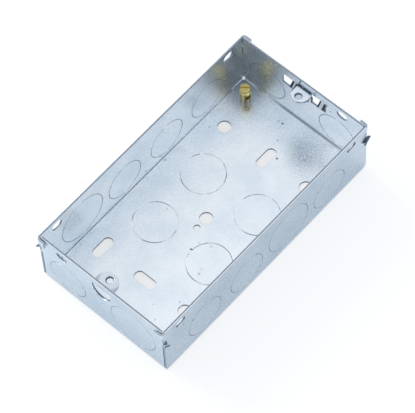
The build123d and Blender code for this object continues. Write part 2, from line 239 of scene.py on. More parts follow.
def bend_shade(tree, spot):
    """Painted shade in the inner bends: most on the near half of the long ones, and mid-way of the
    ends.
    """
    side = add_node(tree, "ShaderNodeSeparateXYZ", links={0: spot}).outputs
    long_bends = face_mask(tree, spot, (
        ("LESS_THAN", "X", (("X", 0, 64.3), ("Y", 34.85, 0.22), ("Z", 1.2, 0.24))),
    ))
    end_bends = face_mask(tree, spot, (
        ("LESS_THAN", "Y", (("X", 64.7, 0.4), ("Y", 0, 34.3), ("Z", 1.32, 0.4))),
    ))
    lighter_from, darker_from = 38.0, 5.0
    near = add_node(
        tree, "ShaderNodeMapRange",
        {"interpolation_type": "SMOOTHSTEP", "From Min": lighter_from, "From Max": darker_from,
         "To Min": 0.65, "To Max": 0.85},
        {"Value": side["X"]})
    # The darkest painted shade in the end bends is 4 mm right of their middle
    off_middle, light_reach, dark_reach = 4.0, 26.0, 12.0
    away = add_node(
        tree, "ShaderNodeMath", {"operation": "ADD", 1: off_middle}, {0: side["Y"]})
    middle = add_node(
        tree, "ShaderNodeMath", {"operation": "ABSOLUTE"}, {0: away.outputs["Value"]})
    centre = add_node(
        tree, "ShaderNodeMapRange",
        {"interpolation_type": "SMOOTHSTEP", "From Min": light_reach, "From Max": dark_reach,
         "To Min": 0.12, "To Max": 0.62},
        {"Value": middle.outputs["Value"]})
    long_part = add_node(
        tree, "ShaderNodeMath", {"operation": "MULTIPLY"},
        {0: long_bends, 1: near.outputs["Result"]})
    end_part = add_node(
        tree, "ShaderNodeMath", {"operation": "MULTIPLY"},
        {0: end_bends, 1: centre.outputs["Result"]})
    return add_node(
        tree, "ShaderNodeMath", {"operation": "MAXIMUM"},
        {0: long_part.outputs["Value"], 1: end_part.outputs["Value"]},
    ).outputs["Value"]


def mark_mask(tree, spot):
    """The larger dark specks and scuffs, and one mark of painted shade, each where the sheet shows
    it.
    """
    core = 0.3
    total = None
    for x, y, z, radius, depth in MARKS:
        reach = add_node(
            tree, "ShaderNodeVectorMath", {"operation": "DISTANCE", 1: (x, y, z)}, {0: spot})
        mark = add_node(
            tree, "ShaderNodeMapRange",
            {"interpolation_type": "SMOOTHSTEP", "From Min": radius, "From Max": core * radius,
             "To Min": 0.0, "To Max": depth},
            {"Value": reach.outputs["Value"]})
        if total is None:
            total = mark.outputs["Result"]
        else:
            total = add_node(
                tree, "ShaderNodeMath", {"operation": "MAXIMUM"},
                {0: total, 1: mark.outputs["Result"]}).outputs["Value"]
    return total


def knockout_height(tree, spot):
    """Shape of the sheet round the knockouts, and a mask of the walls of their sheared lines.

    The press pushes each disc a little way out and back, so the disc sits slightly low and the
    sheet slopes over about half a millimetre on both sides of the line.
    """
    slope_inside, slope_outside = 0.75, 0.45
    slit_half, slit_spare = SLIT_WIDTH / 2, 0.06
    height = None
    line = None
    for x, y, z, radius in KNOCKOUTS:
        reach = add_node(
            tree, "ShaderNodeVectorMath", {"operation": "DISTANCE", 1: (x, y, z)}, {0: spot})
        step = add_node(
            tree, "ShaderNodeMapRange",
            {"interpolation_type": "SMOOTHSTEP", "From Min": radius - slope_inside,
             "From Max": radius + slope_outside},
            {"Value": reach.outputs["Value"]})
        slit = add_node(
            tree, "ShaderNodeMath",
            {"operation": "COMPARE", 1: radius - slit_half, 2: slit_half + slit_spare},
            {0: reach.outputs["Value"]})
        if height is None:
            height = step.outputs["Result"]
            line = slit.outputs["Value"]
        else:
            height = add_node(
                tree, "ShaderNodeMath", {"operation": "MULTIPLY"},
                {0: height, 1: step.outputs["Result"]}).outputs["Value"]
            line = add_node(
                tree, "ShaderNodeMath", {"operation": "MAXIMUM"},
                {0: line, 1: slit.outputs["Value"]}).outputs["Value"]
    return height, line


def galvanised_sheet(finish):
    """Zinc-coated, cold-rolled steel sheet.

    The zinc skin mirrors its surroundings softly. Fine grain breaks the mirror up, faint streaks
    run along the rolling direction, oil leaves cloudy patches, and handling leaves dark specks.
    """
    material, tree, shader = new_material("Galvanised steel sheet, cold rolled")
    place = add_node(tree, "ShaderNodeTexCoord").outputs["Object"]

    # Cloudy oil film, patches about 18 mm across
    cloud = add_node(
        tree, "ShaderNodeTexNoise",
        {"Scale": 1 / finish.cloud_size, "Detail": 3.0, "Roughness": 0.55},
        {"Vector": place},
    )
    cloud_mask = add_node(
        tree, "ShaderNodeMapRange",
        {"From Min": 0.38, "From Max": 0.66, "To Min": 0.0, "To Max": 1.0},
        {"Value": cloud.outputs["Fac"]},
    )

    # Streaks of the rolling mill along the sheet, 0.8 mm wide and 40 mm long
    streak_length = 40 * MM
    stretched = add_node(
        tree, "ShaderNodeMapping",
        {"Scale": (1 / streak_length, 1 / finish.streak_width, 1 / finish.streak_width)},
        {"Vector": place},
    )
    streak = add_node(
        tree, "ShaderNodeTexNoise", {"Scale": 1.0, "Detail": 2.0, "Roughness": 0.6},
        {"Vector": stretched.outputs["Vector"]},
    )

    # Crystals of the coating, drawn at 0.7 mm because real ones are too fine to show
    grain = add_node(
        tree, "ShaderNodeTexNoise",
        {"Scale": 1 / finish.grain_size, "Detail": 2.0, "Roughness": 0.6},
        {"Vector": place},
    )

    # Dark specks of handling, about 0.7 mm across, in one cell of five
    speck_cell = 7.5 * MM
    speck_core, speck_edge, without_speck = 0.03, 0.065, 0.72
    cells = add_node(
        tree, "ShaderNodeTexVoronoi", {"Scale": 1 / speck_cell, "Randomness": 1.0},
        {"Vector": place},
    )
    speck = add_node(
        tree, "ShaderNodeMapRange",
        {"From Min": speck_core, "From Max": speck_edge, "To Min": 1.0, "To Max": 0.0},
        {"Value": cells.outputs["Distance"]},
    )
    rare = add_node(
        tree, "ShaderNodeMath", {"operation": "GREATER_THAN", 1: without_speck},
        {0: cells.outputs["Color"]},
    )
    speck_mask = add_node(
        tree, "ShaderNodeMath", {"operation": "MULTIPLY"},
        {0: speck.outputs["Result"], 1: rare.outputs["Value"]},
    )

    base = add_node(
        tree, "ShaderNodeMix",
        {"data_type": "RGBA", 6: finish.zinc_light, 7: finish.zinc_oiled},
        {0: cloud_mask.outputs["Result"]},
    )
    streaked = add_node(
        tree, "ShaderNodeMix",
        {"data_type": "RGBA", "blend_type": "OVERLAY", 0: 0.10},
        {6: base.outputs[2], 7: streak.outputs["Fac"]},
    )
    grained = add_node(
        tree, "ShaderNodeMix",
        {"data_type": "RGBA", "blend_type": "OVERLAY", 0: 0.14},
        {6: streaked.outputs[2], 7: grain.outputs["Fac"]},
    )
    specked = add_node(
        tree, "ShaderNodeMix",
        {"data_type": "RGBA", 7: finish.speck},
        {0: speck_mask.outputs["Value"], 6: grained.outputs[2]},
    )

    spot = in_millimetres(tree, place)
    cut = cut_edge_mask(tree, spot)
    grey_edges_and_shade = grey_edge_and_shade_mask(tree, spot)
    dip, sheared = knockout_height(tree, spot)
    marked = add_node(
        tree, "ShaderNodeMix",
        {"data_type": "RGBA", 7: finish.dirt_and_shade},
        {0: mark_mask(tree, spot), 6: specked.outputs[2]},
    )
    bends = bend_shade(tree, spot)
    # Painted shade in the inner bends
    shaded_in_bends = add_node(
        tree, "ShaderNodeMix",
        {"data_type": "RGBA", 7: finish.dirt_and_shade},
        {0: bends, 6: marked.outputs[2]},
    )
    # Painted shade on the far right locking tongue
    tongue_shade = add_node(
        tree, "ShaderNodeMix",
        {"data_type": "RGBA", 7: finish.tongue_shade},
        {0: tongue_shade_mask(tree, spot), 6: shaded_in_bends.outputs[2]},
    )
    # The fixed lug is painted greyer, and a darker ring on its top along the rim is painted shade
    # of the rounded-over edge
    lug_reach, lug_fade, rim_inside, rim_outside, rim_share = 6.2, 6.6, 4.3, 5.2, 2.4
    lug = add_node(
        tree, "ShaderNodeVectorMath", {"operation": "DISTANCE", 1: FIXED_LUG}, {0: spot})
    dull = add_node(
        tree, "ShaderNodeMapRange",
        {"From Min": lug_fade, "From Max": lug_reach, "To Min": 0.0, "To Max": 0.42},
        {"Value": lug.outputs["Value"]})
    rim_shade = add_node(
        tree, "ShaderNodeMapRange",
        {"interpolation_type": "SMOOTHSTEP", "From Min": rim_inside, "From Max": rim_outside,
         "To Min": 0.0, "To Max": 0.5},
        {"Value": lug.outputs["Value"]})
    top = add_node(
        tree, "ShaderNodeMath", {"operation": "GREATER_THAN", 1: FIXED_LUG_ROOT},
        {0: add_node(tree, "ShaderNodeSeparateXYZ", links={0: spot}).outputs["X"]})
    rim_top = add_node(
        tree, "ShaderNodeMath", {"operation": "MULTIPLY"},
        {0: rim_shade.outputs["Result"], 1: top.outputs["Value"]})
    near_lug = add_node(
        tree, "ShaderNodeMath", {"operation": "MULTIPLY"},
        {0: rim_top.outputs["Value"], 1: dull.outputs["Result"]})
    dulled = add_node(
        tree, "ShaderNodeMath", {"operation": "MULTIPLY_ADD", 1: rim_share},
        {0: near_lug.outputs["Value"], 2: dull.outputs["Result"]})
    # Greyer lug, with painted shade along its rim
    drawn = add_node(
        tree, "ShaderNodeMix",
        {"data_type": "RGBA", 7: finish.grey_zinc_and_shade},
        {0: dulled.outputs["Value"], 6: tongue_shade.outputs[2]},
    )
    # Greyer edges, with painted shade on the end faces of the wrap tabs
    rubbed = add_node(
        tree, "ShaderNodeMix",
        {"data_type": "RGBA", 7: finish.grey_zinc_and_shade},
        {0: grey_edges_and_shade, 6: drawn.outputs[2]},
    )
    # The walls of the floor's knockout slits are painted bright zinc: painted light that lifts the
    # shade in the slits. The other cuts are bare
    level = add_node(tree, "ShaderNodeSeparateXYZ", links={0: spot}).outputs["Z"]
    low = add_node(
        tree, "ShaderNodeMath", {"operation": "LESS_THAN", 1: SHEET + 0.5}, {0: level})
    smeared = add_node(
        tree, "ShaderNodeMath", {"operation": "MULTIPLY"},
        {0: sheared, 1: low.outputs["Value"]})
    edge = add_node(
        tree, "ShaderNodeMix",
        {"data_type": "RGBA", 6: finish.cut_steel, 7: finish.zinc_light},
        {0: smeared.outputs["Value"]},
    )
    coated = add_node(
        tree, "ShaderNodeMix",
        {"data_type": "RGBA"},
        {0: cut, 6: rubbed.outputs[2], 7: edge.outputs[2]},
    )
    smoother, rougher = 0.05, 0.07
    rough_grain = add_node(
        tree, "ShaderNodeMapRange",
        {"From Min": 0.3, "From Max": 0.7, "To Min": finish.sheet_roughness - smoother,
         "To Max": finish.sheet_roughness + rougher},
        {"Value": grain.outputs["Fac"]},
    )
    # Cut edges and the bends with painted shade are rougher
    bare = add_node(tree, "ShaderNodeMath", {"operation": "MAXIMUM"}, {0: cut, 1: bends})
    bare_roughness = 0.55
    rough = add_node(
        tree, "ShaderNodeMix",
        {"data_type": "FLOAT", 3: bare_roughness},
        {0: bare.outputs["Value"], 2: rough_grain.outputs["Result"]},
    )
    height = add_node(
        tree, "ShaderNodeMath", {"operation": "MULTIPLY_ADD", 1: 0.5},
        {0: streak.outputs["Fac"], 2: grain.outputs["Fac"]},
    )
    # The press rolls the edges of every cut over
    rolled = add_node(tree, "ShaderNodeBevel", {"samples": 6, "Radius": finish.edge_radius})
    dipped = add_node(
        tree, "ShaderNodeBump", {"Strength": 1.0, "Distance": finish.knockout_dip},
        {"Height": dip, "Normal": rolled.outputs["Normal"]},
    )
    bump = add_node(
        tree, "ShaderNodeBump", {"Strength": 0.12, "Distance": 0.05 * MM},
        {"Height": height.outputs["Value"], "Normal": dipped.outputs["Normal"]},
    )
    shader.inputs["Metallic"].default_value = 1.0
    tree.links.new(coated.outputs[2], shader.inputs["Base Color"])
    tree.links.new(rough.outputs[0], shader.inputs["Roughness"])
    tree.links.new(bump.outputs["Normal"], shader.inputs["Normal"])
    return material


def bright_zinc_plate(finish):
    """Bright zinc plating on a small pressed strip: whiter and glossier than the sheet."""
    material, tree, shader = new_material("Bright zinc plate, barrel plated")
    place = add_node(tree, "ShaderNodeTexCoord").outputs["Object"]
    grain_size = 0.6 * MM
    grain = add_node(
        tree, "ShaderNodeTexNoise", {"Scale": 1 / grain_size, "Detail": 2.0},
        {"Vector": place},
    )
    tone = add_node(
        tree, "ShaderNodeMix",
        {"data_type": "RGBA", 6: finish.plate_light, 7: finish.plate_dark},
        {0: grain.outputs["Fac"]},
    )
    # The strip was sheared before it was folded: its long edges are dark
    sides = add_node(
        tree, "ShaderNodeSeparateXYZ",
        links={0: add_node(tree, "ShaderNodeNewGeometry").outputs["True Normal"]})
    across = add_node(
        tree, "ShaderNodeMath", {"operation": "ABSOLUTE"}, {0: sides.outputs["Y"]})
    edge = add_node(
        tree, "ShaderNodeMath", {"operation": "GREATER_THAN", 1: 0.8},
        {0: across.outputs["Value"]})
    # The ears are painted dark at their margins, where they reach into the box: painted shade of
    # the gaps round them
    spot = add_node(tree, "ShaderNodeSeparateXYZ", links={0: in_millimetres(tree, place)}).outputs
    inside = add_node(
        tree, "ShaderNodeMath", {"operation": "LESS_THAN", 1: END_WALL_OUTSIDE},
        {0: spot["X"]})
    shade_half = 1.0
    edge_and_shade = edge
    for ear_middle, light_half in LUG_EARS:
        away = add_node(
            tree, "ShaderNodeMath", {"operation": "SUBTRACT", 1: ear_middle}, {0: spot["Y"]})
        reach = add_node(
            tree, "ShaderNodeMath", {"operation": "ABSOLUTE"}, {0: away.outputs["Value"]})
        side = add_node(
            tree, "ShaderNodeMath",
            {"operation": "COMPARE", 1: light_half + shade_half, 2: shade_half},
            {0: reach.outputs["Value"]})
        within = add_node(
            tree, "ShaderNodeMath", {"operation": "MULTIPLY"},
            {0: side.outputs["Value"], 1: inside.outputs["Value"]})
        edge_and_shade = add_node(
            tree, "ShaderNodeMath", {"operation": "MAXIMUM"},
            {0: edge_and_shade.outputs["Value"], 1: within.outputs["Value"]})
    edged = add_node(
        tree, "ShaderNodeMix", {"data_type": "RGBA", 7: finish.plate_edge_and_shade},
        {0: edge_and_shade.outputs["Value"], 6: tone.outputs[2]},
    )
    rough = add_node(
        tree, "ShaderNodeMapRange", {"To Min": 0.24, "To Max": 0.4},
        {"Value": grain.outputs["Fac"]},
    )
    shader.inputs["Metallic"].default_value = 1.0
    tree.links.new(edged.outputs[2], shader.inputs["Base Color"])
    tree.links.new(rough.outputs["Result"], shader.inputs["Roughness"])
    return material


def turned_brass(name, tones, axis_point, ring_pitch, smoothest, roughest):
    """Brass turned on a lathe: fine rings round the axis catch the light as bands.

    At a scale of one, a ridge or a groove of the wave texture is 0.16 wide.
    """
    wave_width = 0.16
    stain_size = 2.5 * MM
    foot_top, foot_full = 4.6 * MM, 1.6 * MM
    tone_light, tone_dark, foot_reflection = tones
    material, tree, shader = new_material(name)
    place = add_node(tree, "ShaderNodeTexCoord").outputs["Object"]
    centred = add_node(
        tree, "ShaderNodeVectorMath",
        {"operation": "SUBTRACT", 1: (axis_point[0], axis_point[1], 0)},
        {0: place},
    )
    rings = add_node(
        tree, "ShaderNodeTexWave",
        {"wave_type": "RINGS", "rings_direction": "SPHERICAL", "Scale": wave_width / ring_pitch,
         "Distortion": 0.6, "Detail": 1.0},
        {"Vector": centred.outputs["Vector"]},
    )
    stain = add_node(
        tree, "ShaderNodeTexNoise", {"Scale": 1 / stain_size, "Detail": 4.0, "Roughness": 0.65},
        {"Vector": place},
    )
    tone = add_node(
        tree, "ShaderNodeMix",
        {"data_type": "RGBA", 6: tone_light, 7: tone_dark},
        {0: stain.outputs["Fac"]},
    )
    # The foot is painted greyer and redder: a painted reflection of the white card below
    level = add_node(tree, "ShaderNodeSeparateXYZ", links={0: place})
    foot = add_node(
        tree, "ShaderNodeMapRange",
        {"interpolation_type": "SMOOTHSTEP", "From Min": foot_top, "From Max": foot_full,
         "To Min": 0.0, "To Max": 0.8},
        {"Value": level.outputs["Z"]},
    )
    foot_reflected = add_node(
        tree, "ShaderNodeMix", {"data_type": "RGBA", 7: foot_reflection},
        {0: foot.outputs["Result"], 6: tone.outputs[2]},
    )
    rough = add_node(
        tree, "ShaderNodeMapRange", {"To Min": smoothest, "To Max": roughest},
        {"Value": stain.outputs["Fac"]},
    )
    bump = add_node(
        tree, "ShaderNodeBump", {"Strength": 0.25, "Distance": 0.03 * MM},
        {"Height": rings.outputs["Fac"]},
    )
    shader.inputs["Metallic"].default_value = 1.0
    tree.links.new(foot_reflected.outputs[2], shader.inputs["Base Color"])
    tree.links.new(rough.outputs["Result"], shader.inputs["Roughness"])
    tree.links.new(bump.outputs["Normal"], shader.inputs["Normal"])
    return material


def burr_zinc(finish):
    """Smeared zinc and oil in the sheared line of a knockout: bright here and dark there. On the
    floor it is painted brighter and on the walls darker: painted light and shade.
    """
    material, tree, shader = new_material("Sheared burr, smeared zinc")
    place = add_node(tree, "ShaderNodeTexCoord").outputs["Object"]
    run_length = 11 * MM
    run = add_node(
        tree, "ShaderNodeTexNoise", {"Scale": 1 / run_length, "Detail": 2.0, "Roughness": 0.6},
        {"Vector": place},
    )
    share = add_node(
        tree, "ShaderNodeMapRange", {"From Min": 0.42, "From Max": 0.58},
        {"Value": run.outputs["Fac"]},
    )
    # Those of the walls are painted darker than those of the floor: painted shade on the walls,
    # painted light on the floor
    wall_shade_share = 0.3
    level = add_node(
        tree, "ShaderNodeSeparateXYZ", links={0: in_millimetres(tree, place)})
    floor = add_node(
        tree, "ShaderNodeMapRange",
        {"From Min": SHEET, "From Max": 2 * SHEET, "To Min": 1.0, "To Max": wall_shade_share},
        {"Value": level.outputs["Z"]},
    )
    bright = add_node(
        tree, "ShaderNodeMath", {"operation": "MULTIPLY"},
        {0: share.outputs["Result"], 1: floor.outputs["Result"]},
    )
    tone = add_node(
        tree, "ShaderNodeMix",
        {"data_type": "RGBA", 6: finish.burr_dark, 7: finish.burr_light},
        {0: bright.outputs["Value"]},
    )
    shader.inputs["Metallic"].default_value = 1.0
    shader.inputs["Roughness"].default_value = 0.42
    tree.links.new(tone.outputs[2], shader.inputs["Base Color"])
    return material


def burr_mesh(name):
    """The burr that fills each knockout's sheared line: one ring a knockout, sunk in the slit."""
    mesh = bpy.data.meshes.new(name)
    shape = bmesh.new()
    steps = 72
    gap = 0.01
    half = SHEET / 2 - BURR_SUNK
    for x, y, z, radius in KNOCKOUTS:
        centre = Vector((x, y, z))
        if z < SHEET:
            along, up, out = Vector((1, 0, 0)), Vector((0, 1, 0)), Vector((0, 0, 1))
        elif abs(y) > LONG_WALL_Y:
            along, up, out = Vector((1, 0, 0)), Vector((0, 0, 1)), Vector((0, -1, 0))
        else:
            along, up, out = Vector((0, 1, 0)), Vector((0, 0, 1)), Vector((1, 0, 0))
        rows = []
        for index in range(steps):
            angle = 2 * math.pi * index / steps
            ray = along * math.cos(angle) + up * math.sin(angle)
            ring = []
            for reach, level in ((radius - gap, -half), (radius - gap, half),
                                 (radius - SLIT_WIDTH + gap, half),
                                 (radius - SLIT_WIDTH + gap, -half)):
                ring.append(shape.verts.new((centre + ray * reach + out * level) * MM))
            rows.append(ring)
        for index in range(steps):
            first = rows[index]
            second = rows[(index + 1) % steps]
            for edge in range(4):
                other = (edge + 1) % 4
                shape.faces.new((first[edge], second[edge], second[other], first[other]))
    bmesh.ops.recalc_face_normals(shape, faces=shape.faces)
    shape.to_mesh(mesh)
    shape.free()
    return mesh


def thread_mesh(name, centre, low, high, wall_radius, depth, pitch):
    """A helical thread ridge that stands inward on a hole's wall, as one closed ribbon."""
    mesh = bpy.data.meshes.new(name)
    shape = bmesh.new()
    steps = 28
    run_out = 6
    flank = 0.45 * pitch
    sunk = 0.02 * MM
    turns = (high - low - pitch) / pitch
    count = int(turns * steps) + 1
    root = wall_radius + sunk
    rows = []
    for index in range(count + 1):
        angle = 2 * math.pi * index / steps
        level = low + pitch / 2 + pitch * index / steps
        taper = min(1.0, index / run_out, (count - index) / run_out)
        crest = wall_radius - depth * taper
        ring = []
        for radius, rise in ((root, -flank), (crest, 0.0), (root, flank)):
            spot = Vector((radius * math.cos(angle), radius * math.sin(angle), level + rise))
            ring.append(shape.verts.new(centre + spot))
        rows.append(ring)
    for first, second in zip(rows, rows[1:]):
        for edge in range(3):
            other = (edge + 1) % 3
            shape.faces.new((first[edge], second[edge], second[other], first[other]))
    shape.faces.new(rows[0])
    shape.faces.new(reversed(rows[-1]))
    bmesh.ops.recalc_face_normals(shape, faces=shape.faces)
    shape.to_mesh(mesh)
    shape.free()
    return mesh


class SheetFinish(PropertyGroup):
    zinc_light: FloatVectorProperty(
        name="Zinc", description="Clean zinc coating", subtype="COLOR", size=4,
        min=0, max=1, default=linear("#F1F6FB"))
    zinc_oiled: FloatVectorProperty(
        name="Oiled zinc", description="Zinc under a cloud of oil film", subtype="COLOR", size=4,
        min=0, max=1, default=linear("#E3ECF4"))
    speck: FloatVectorProperty(
        name="Speck", description="Dark speck left by handling", subtype="COLOR", size=4,
        min=0, max=1, default=linear("#5E6B78"))
    cut_steel: FloatVectorProperty(
        name="Cut steel", description="Bare steel on the sheared edges", subtype="COLOR", size=4,
        min=0, max=1, default=linear("#858C98"))
    # Greyer zinc of the edges and the fixed lug, and the colour of the painted shade at the wrap
    # tab ends and the lug's rim
    grey_zinc_and_shade: FloatVectorProperty(
        name="Grey zinc and shade", description="Zinc rubbed thin on the outer edges", subtype="COLOR",
        size=4, min=0, max=1, default=linear("#A9B4C0"))
    # Colour of the dark marks, and of the painted shade in the inner bends
    dirt_and_shade: FloatVectorProperty(
        name="Dirt and shade", description="Dirt in the bends and dark marks", subtype="COLOR",
        size=4, min=0, max=1, default=linear("#6F8092"))
    # Painted shade: the dark colour of the far right tongue stands for the shade round it
    tongue_shade: FloatVectorProperty(
        name="Painted tongue shade", description="Cracked zinc of the far right tongue",
        subtype="COLOR", size=4, min=0, max=1, default=linear("#76838F"))
    burr_dark: FloatVectorProperty(
        name="Dark burr", description="Oily part of a knockout's sheared line", subtype="COLOR",
        size=4, min=0, max=1, default=linear("#6D7C8A"))
    burr_light: FloatVectorProperty(
        name="Bright burr", description="Bright part of a knockout's sheared line",
        subtype="COLOR", size=4, min=0, max=1, default=linear("#FFFFFF"))
    cloud_size: FloatProperty(
        name="Cloud size", description="Width of an oil cloud", subtype="DISTANCE",
        unit="LENGTH", default=18 * MM)
    streak_width: FloatProperty(
        name="Streak width", description="Width of a rolling streak", subtype="DISTANCE",
        unit="LENGTH", default=0.8 * MM)
    grain_size: FloatProperty(
        name="Grain size", description="Width of a coating crystal as drawn", subtype="DISTANCE",
        unit="LENGTH", default=0.7 * MM)
    edge_radius: FloatProperty(
        name="Edge radius", description="Rounding of a sheared edge", subtype="DISTANCE",
        unit="LENGTH", default=0.25 * MM)
    knockout_dip: FloatProperty(
        name="Knockout dip", description="How far a knockout disc sits below the sheet",
        subtype="DISTANCE", unit="LENGTH", default=0.07 * MM)
    sheet_roughness: FloatProperty(
        name="Sheet roughness", description="Mean roughness of the coating", subtype="FACTOR",
        min=0, max=1, default=0.28)
    plate_light: FloatVectorProperty(
        name="Plate light", description="Bright zinc plating", subtype="COLOR", size=4,
        min=0, max=1, default=linear("#F0F5FA"))
    plate_dark: FloatVectorProperty(
        name="Plate dark", description="Duller zinc plating", subtype="COLOR", size=4,
        min=0, max=1, default=linear("#D2DCE8"))
    # Colour of the strip's sheared edges, and of the painted shade at the ears' margins
    plate_edge_and_shade: FloatVectorProperty(
        name="Plate edge and shade", description="Sheared edges of the plated strip", subtype="COLOR",
        size=4, min=0, max=1, default=linear("#4E5864"))


class TerminalFinish(PropertyGroup):
    pillar_x: FloatProperty(
        name="Pillar X", description="Axis of the earth terminal along the box",
        subtype="DISTANCE", unit="LENGTH", default=57.3 * MM)
    pillar_y: FloatProperty(
        name="Pillar Y", description="Axis of the earth terminal across the box",
        subtype="DISTANCE", unit="LENGTH", default=27.2 * MM)
    brass_light: FloatVectorProperty(
        name="Brass", description="Clean turned brass", subtype="COLOR", size=4,
        min=0, max=1, default=linear("#FFF0A0"))
    brass_dark: FloatVectorProperty(
        name="Tarnished brass", description="Brass dulled by handling", subtype="COLOR", size=4,
        min=0, max=1, default=linear("#CFC09A"))
    # Painted reflection of the white card at the foot of the pillar
    brass_foot_reflection: FloatVectorProperty(
        name="Brass foot reflection", description="Oily tarnish at the foot of the pillar",
        subtype="COLOR", size=4, min=0, max=1, default=linear("#CCC2C0"))
    brass_warm: FloatVectorProperty(
        name="Warm brass", description="Clean brass where it looks redder", subtype="COLOR",
        size=4, min=0, max=1, default=linear("#FFEBA2"))
    thread_steel: FloatVectorProperty(
        name="Thread steel", description="Oily steel in the threads of the lug holes",
        subtype="COLOR", size=4, min=0, max=1, default=linear("#6B7480"))
    thread_pitch: FloatProperty(
        name="Thread pitch", description="Pitch of the M3.5 threads", subtype="DISTANCE",
        unit="LENGTH", default=0.6 * MM)
    thread_depth: FloatProperty(
        name="Thread depth", description="Height of a thread ridge", subtype="DISTANCE",
        unit="LENGTH", default=0.3 * MM)


class StudioSettings(PropertyGroup):
    floor_colour: FloatVectorProperty(
        name="Floor", description="Colour of the paper sweep", subtype="COLOR", size=4,
        min=0, max=1, default=linear("#E9EFF5"))
    floor_glow: FloatVectorProperty(
        name="Floor glow", description="Light that the card scatters up", subtype="COLOR", size=4,
        min=0, max=1, default=linear("#E2EFFB"))
    sky_light: FloatVectorProperty(
        name="Tent", description="Light tent round the table", subtype="COLOR", size=4,
        min=0, max=1, default=linear("#F2F6FA"))
    sky_low: FloatVectorProperty(
        name="Tent foot", description="Dim room low round the table", subtype="COLOR", size=4,
        min=0, max=1, default=linear("#76838F"))
    sky_dark: FloatVectorProperty(
        name="Tent mouth", description="Dark room seen through the mouth of the tent",
        subtype="COLOR", size=4, min=0, max=1, default=linear("#161A1F"))
    mouth_width: FloatProperty(
        name="Mouth width", description="Half angle of the dark mouth of the tent",
        subtype="ANGLE", unit="ROTATION", default=math.radians(23))
    camera_lens: FloatProperty(
        name="Lens", description="Focal length of the camera", subtype="DISTANCE_CAMERA",
        unit="CAMERA", default=246.02)


class BACKBOX_OT_box_shell(Operator):
    """Finish the folded steel box"""
    bl_idname = "backbox.box_shell"
    bl_label = "Galvanised box"

    def execute(self, context):
        dress("box_shell", galvanised_sheet(context.scene.backbox_sheet))
        return {"FINISHED"}


class BACKBOX_OT_knockout_burrs(Operator):
    """Fill the sheared lines of the knockouts with their burr"""
    bl_idname = "backbox.knockout_burrs"
    bl_label = "Knockout burrs"

    def execute(self, context):
        finish = context.scene.backbox_sheet
        mesh = burr_mesh("knockout_burrs")
        mesh_piece("knockout_burrs", mesh, burr_zinc(finish), "box")
        return {"FINISHED"}


class BACKBOX_OT_sliding_lug(Operator):
    """Finish the sliding lug"""
    bl_idname = "backbox.sliding_lug"
    bl_label = "Sliding lug"

    def execute(self, context):
        dress("adjustable_lug", bright_zinc_plate(context.scene.backbox_sheet))
        return {"FINISHED"}


class BACKBOX_OT_earth_terminal(Operator):
    """Finish the brass pillar and its clamp screw"""
    bl_idname = "backbox.earth_terminal"
    bl_label = "Earth terminal"

    def execute(self, context):
        brass = context.scene.backbox_terminal
        axis = (brass.pillar_x, brass.pillar_y)
        dress("earth_terminal", turned_brass(
            "Turned brass, tarnished", (brass.brass_dark, brass.brass_light, brass.brass_foot_reflection),
            axis, ring_pitch=0.35 * MM, smoothest=0.2, roughest=0.42))
        dress("terminal_screw", turned_brass(
            "Turned brass, bright", (brass.brass_light, brass.brass_warm, brass.brass_foot_reflection),
            axis, ring_pitch=0.25 * MM, smoothest=0.45, roughest=0.65))
        return {"FINISHED"}


class BACKBOX_OT_lug_threads(Operator):
    """Add the thread ridges of the two lug holes"""
    bl_idname = "backbox.lug_threads"
    bl_label = "Lug threads"

    def execute(self, context):
        finish = context.scene.backbox_terminal
        holes = {mount["name"]: mount for mount in frame["record"]["mounts"]}
        rows = (
            ("fixed_lug_thread", "fixed_lug_hole", "box_shell", "box", "zinc_sheet"),
            ("sliding_lug_thread", "sliding_lug_hole", "adjustable_lug", "lug", "lug_sheet"),
        )
        steel, tree, shader = new_material("Rolled thread, oiled steel")
        shader.inputs["Base Color"].default_value = finish.thread_steel
        shader.inputs["Metallic"].default_value = 1.0
        shader.inputs["Roughness"].default_value = 0.35
        for name, mount_name, node, body, slot in rows:
            mount = holes[mount_name]
            middle = Vector(mount["pos_m"])
            half = mount["dims"]["length_mm"] * MM / 2
            mesh = thread_mesh(
                name, Vector((middle.x, middle.y, 0)), middle.z - half, middle.z + half,
                mount["dims"]["r_mm"] * MM, finish.thread_depth, finish.thread_pitch)
            mesh_piece(name, mesh, steel, body)
        return {"FINISHED"}


class BACKBOX_OT_studio(Operator):
    """Set up the paper floor, the light tent and the camera"""
    bl_idname = "backbox.studio"
    bl_label = "Studio"

    def execute(self, context):
        studio = context.scene.backbox_studio
        scene = context.scene
        paper_floor(studio)
        light_tent(scene, studio)
        soft_lamp(scene)
        camera(scene, studio)
        scene.view_settings.view_transform = "Standard"
        return {"FINISHED"}


def seen_rays(tree):
    """One where a ray comes from the camera, or from a mirror or glass."""
    path = add_node(tree, "ShaderNodeLightPath")
    direct = add_node(
        tree, "ShaderNodeMath", {"operation": "ADD"},
        {0: path.outputs["Is Camera Ray"], 1: path.outputs["Is Glossy Ray"]},
    )
    both = add_node(
        tree, "ShaderNodeMath", {"operation": "ADD", "use_clamp": True},
        {0: direct.outputs["Value"], 1: path.outputs["Is Transmission Ray"]},
    )
    return both.outputs["Value"]


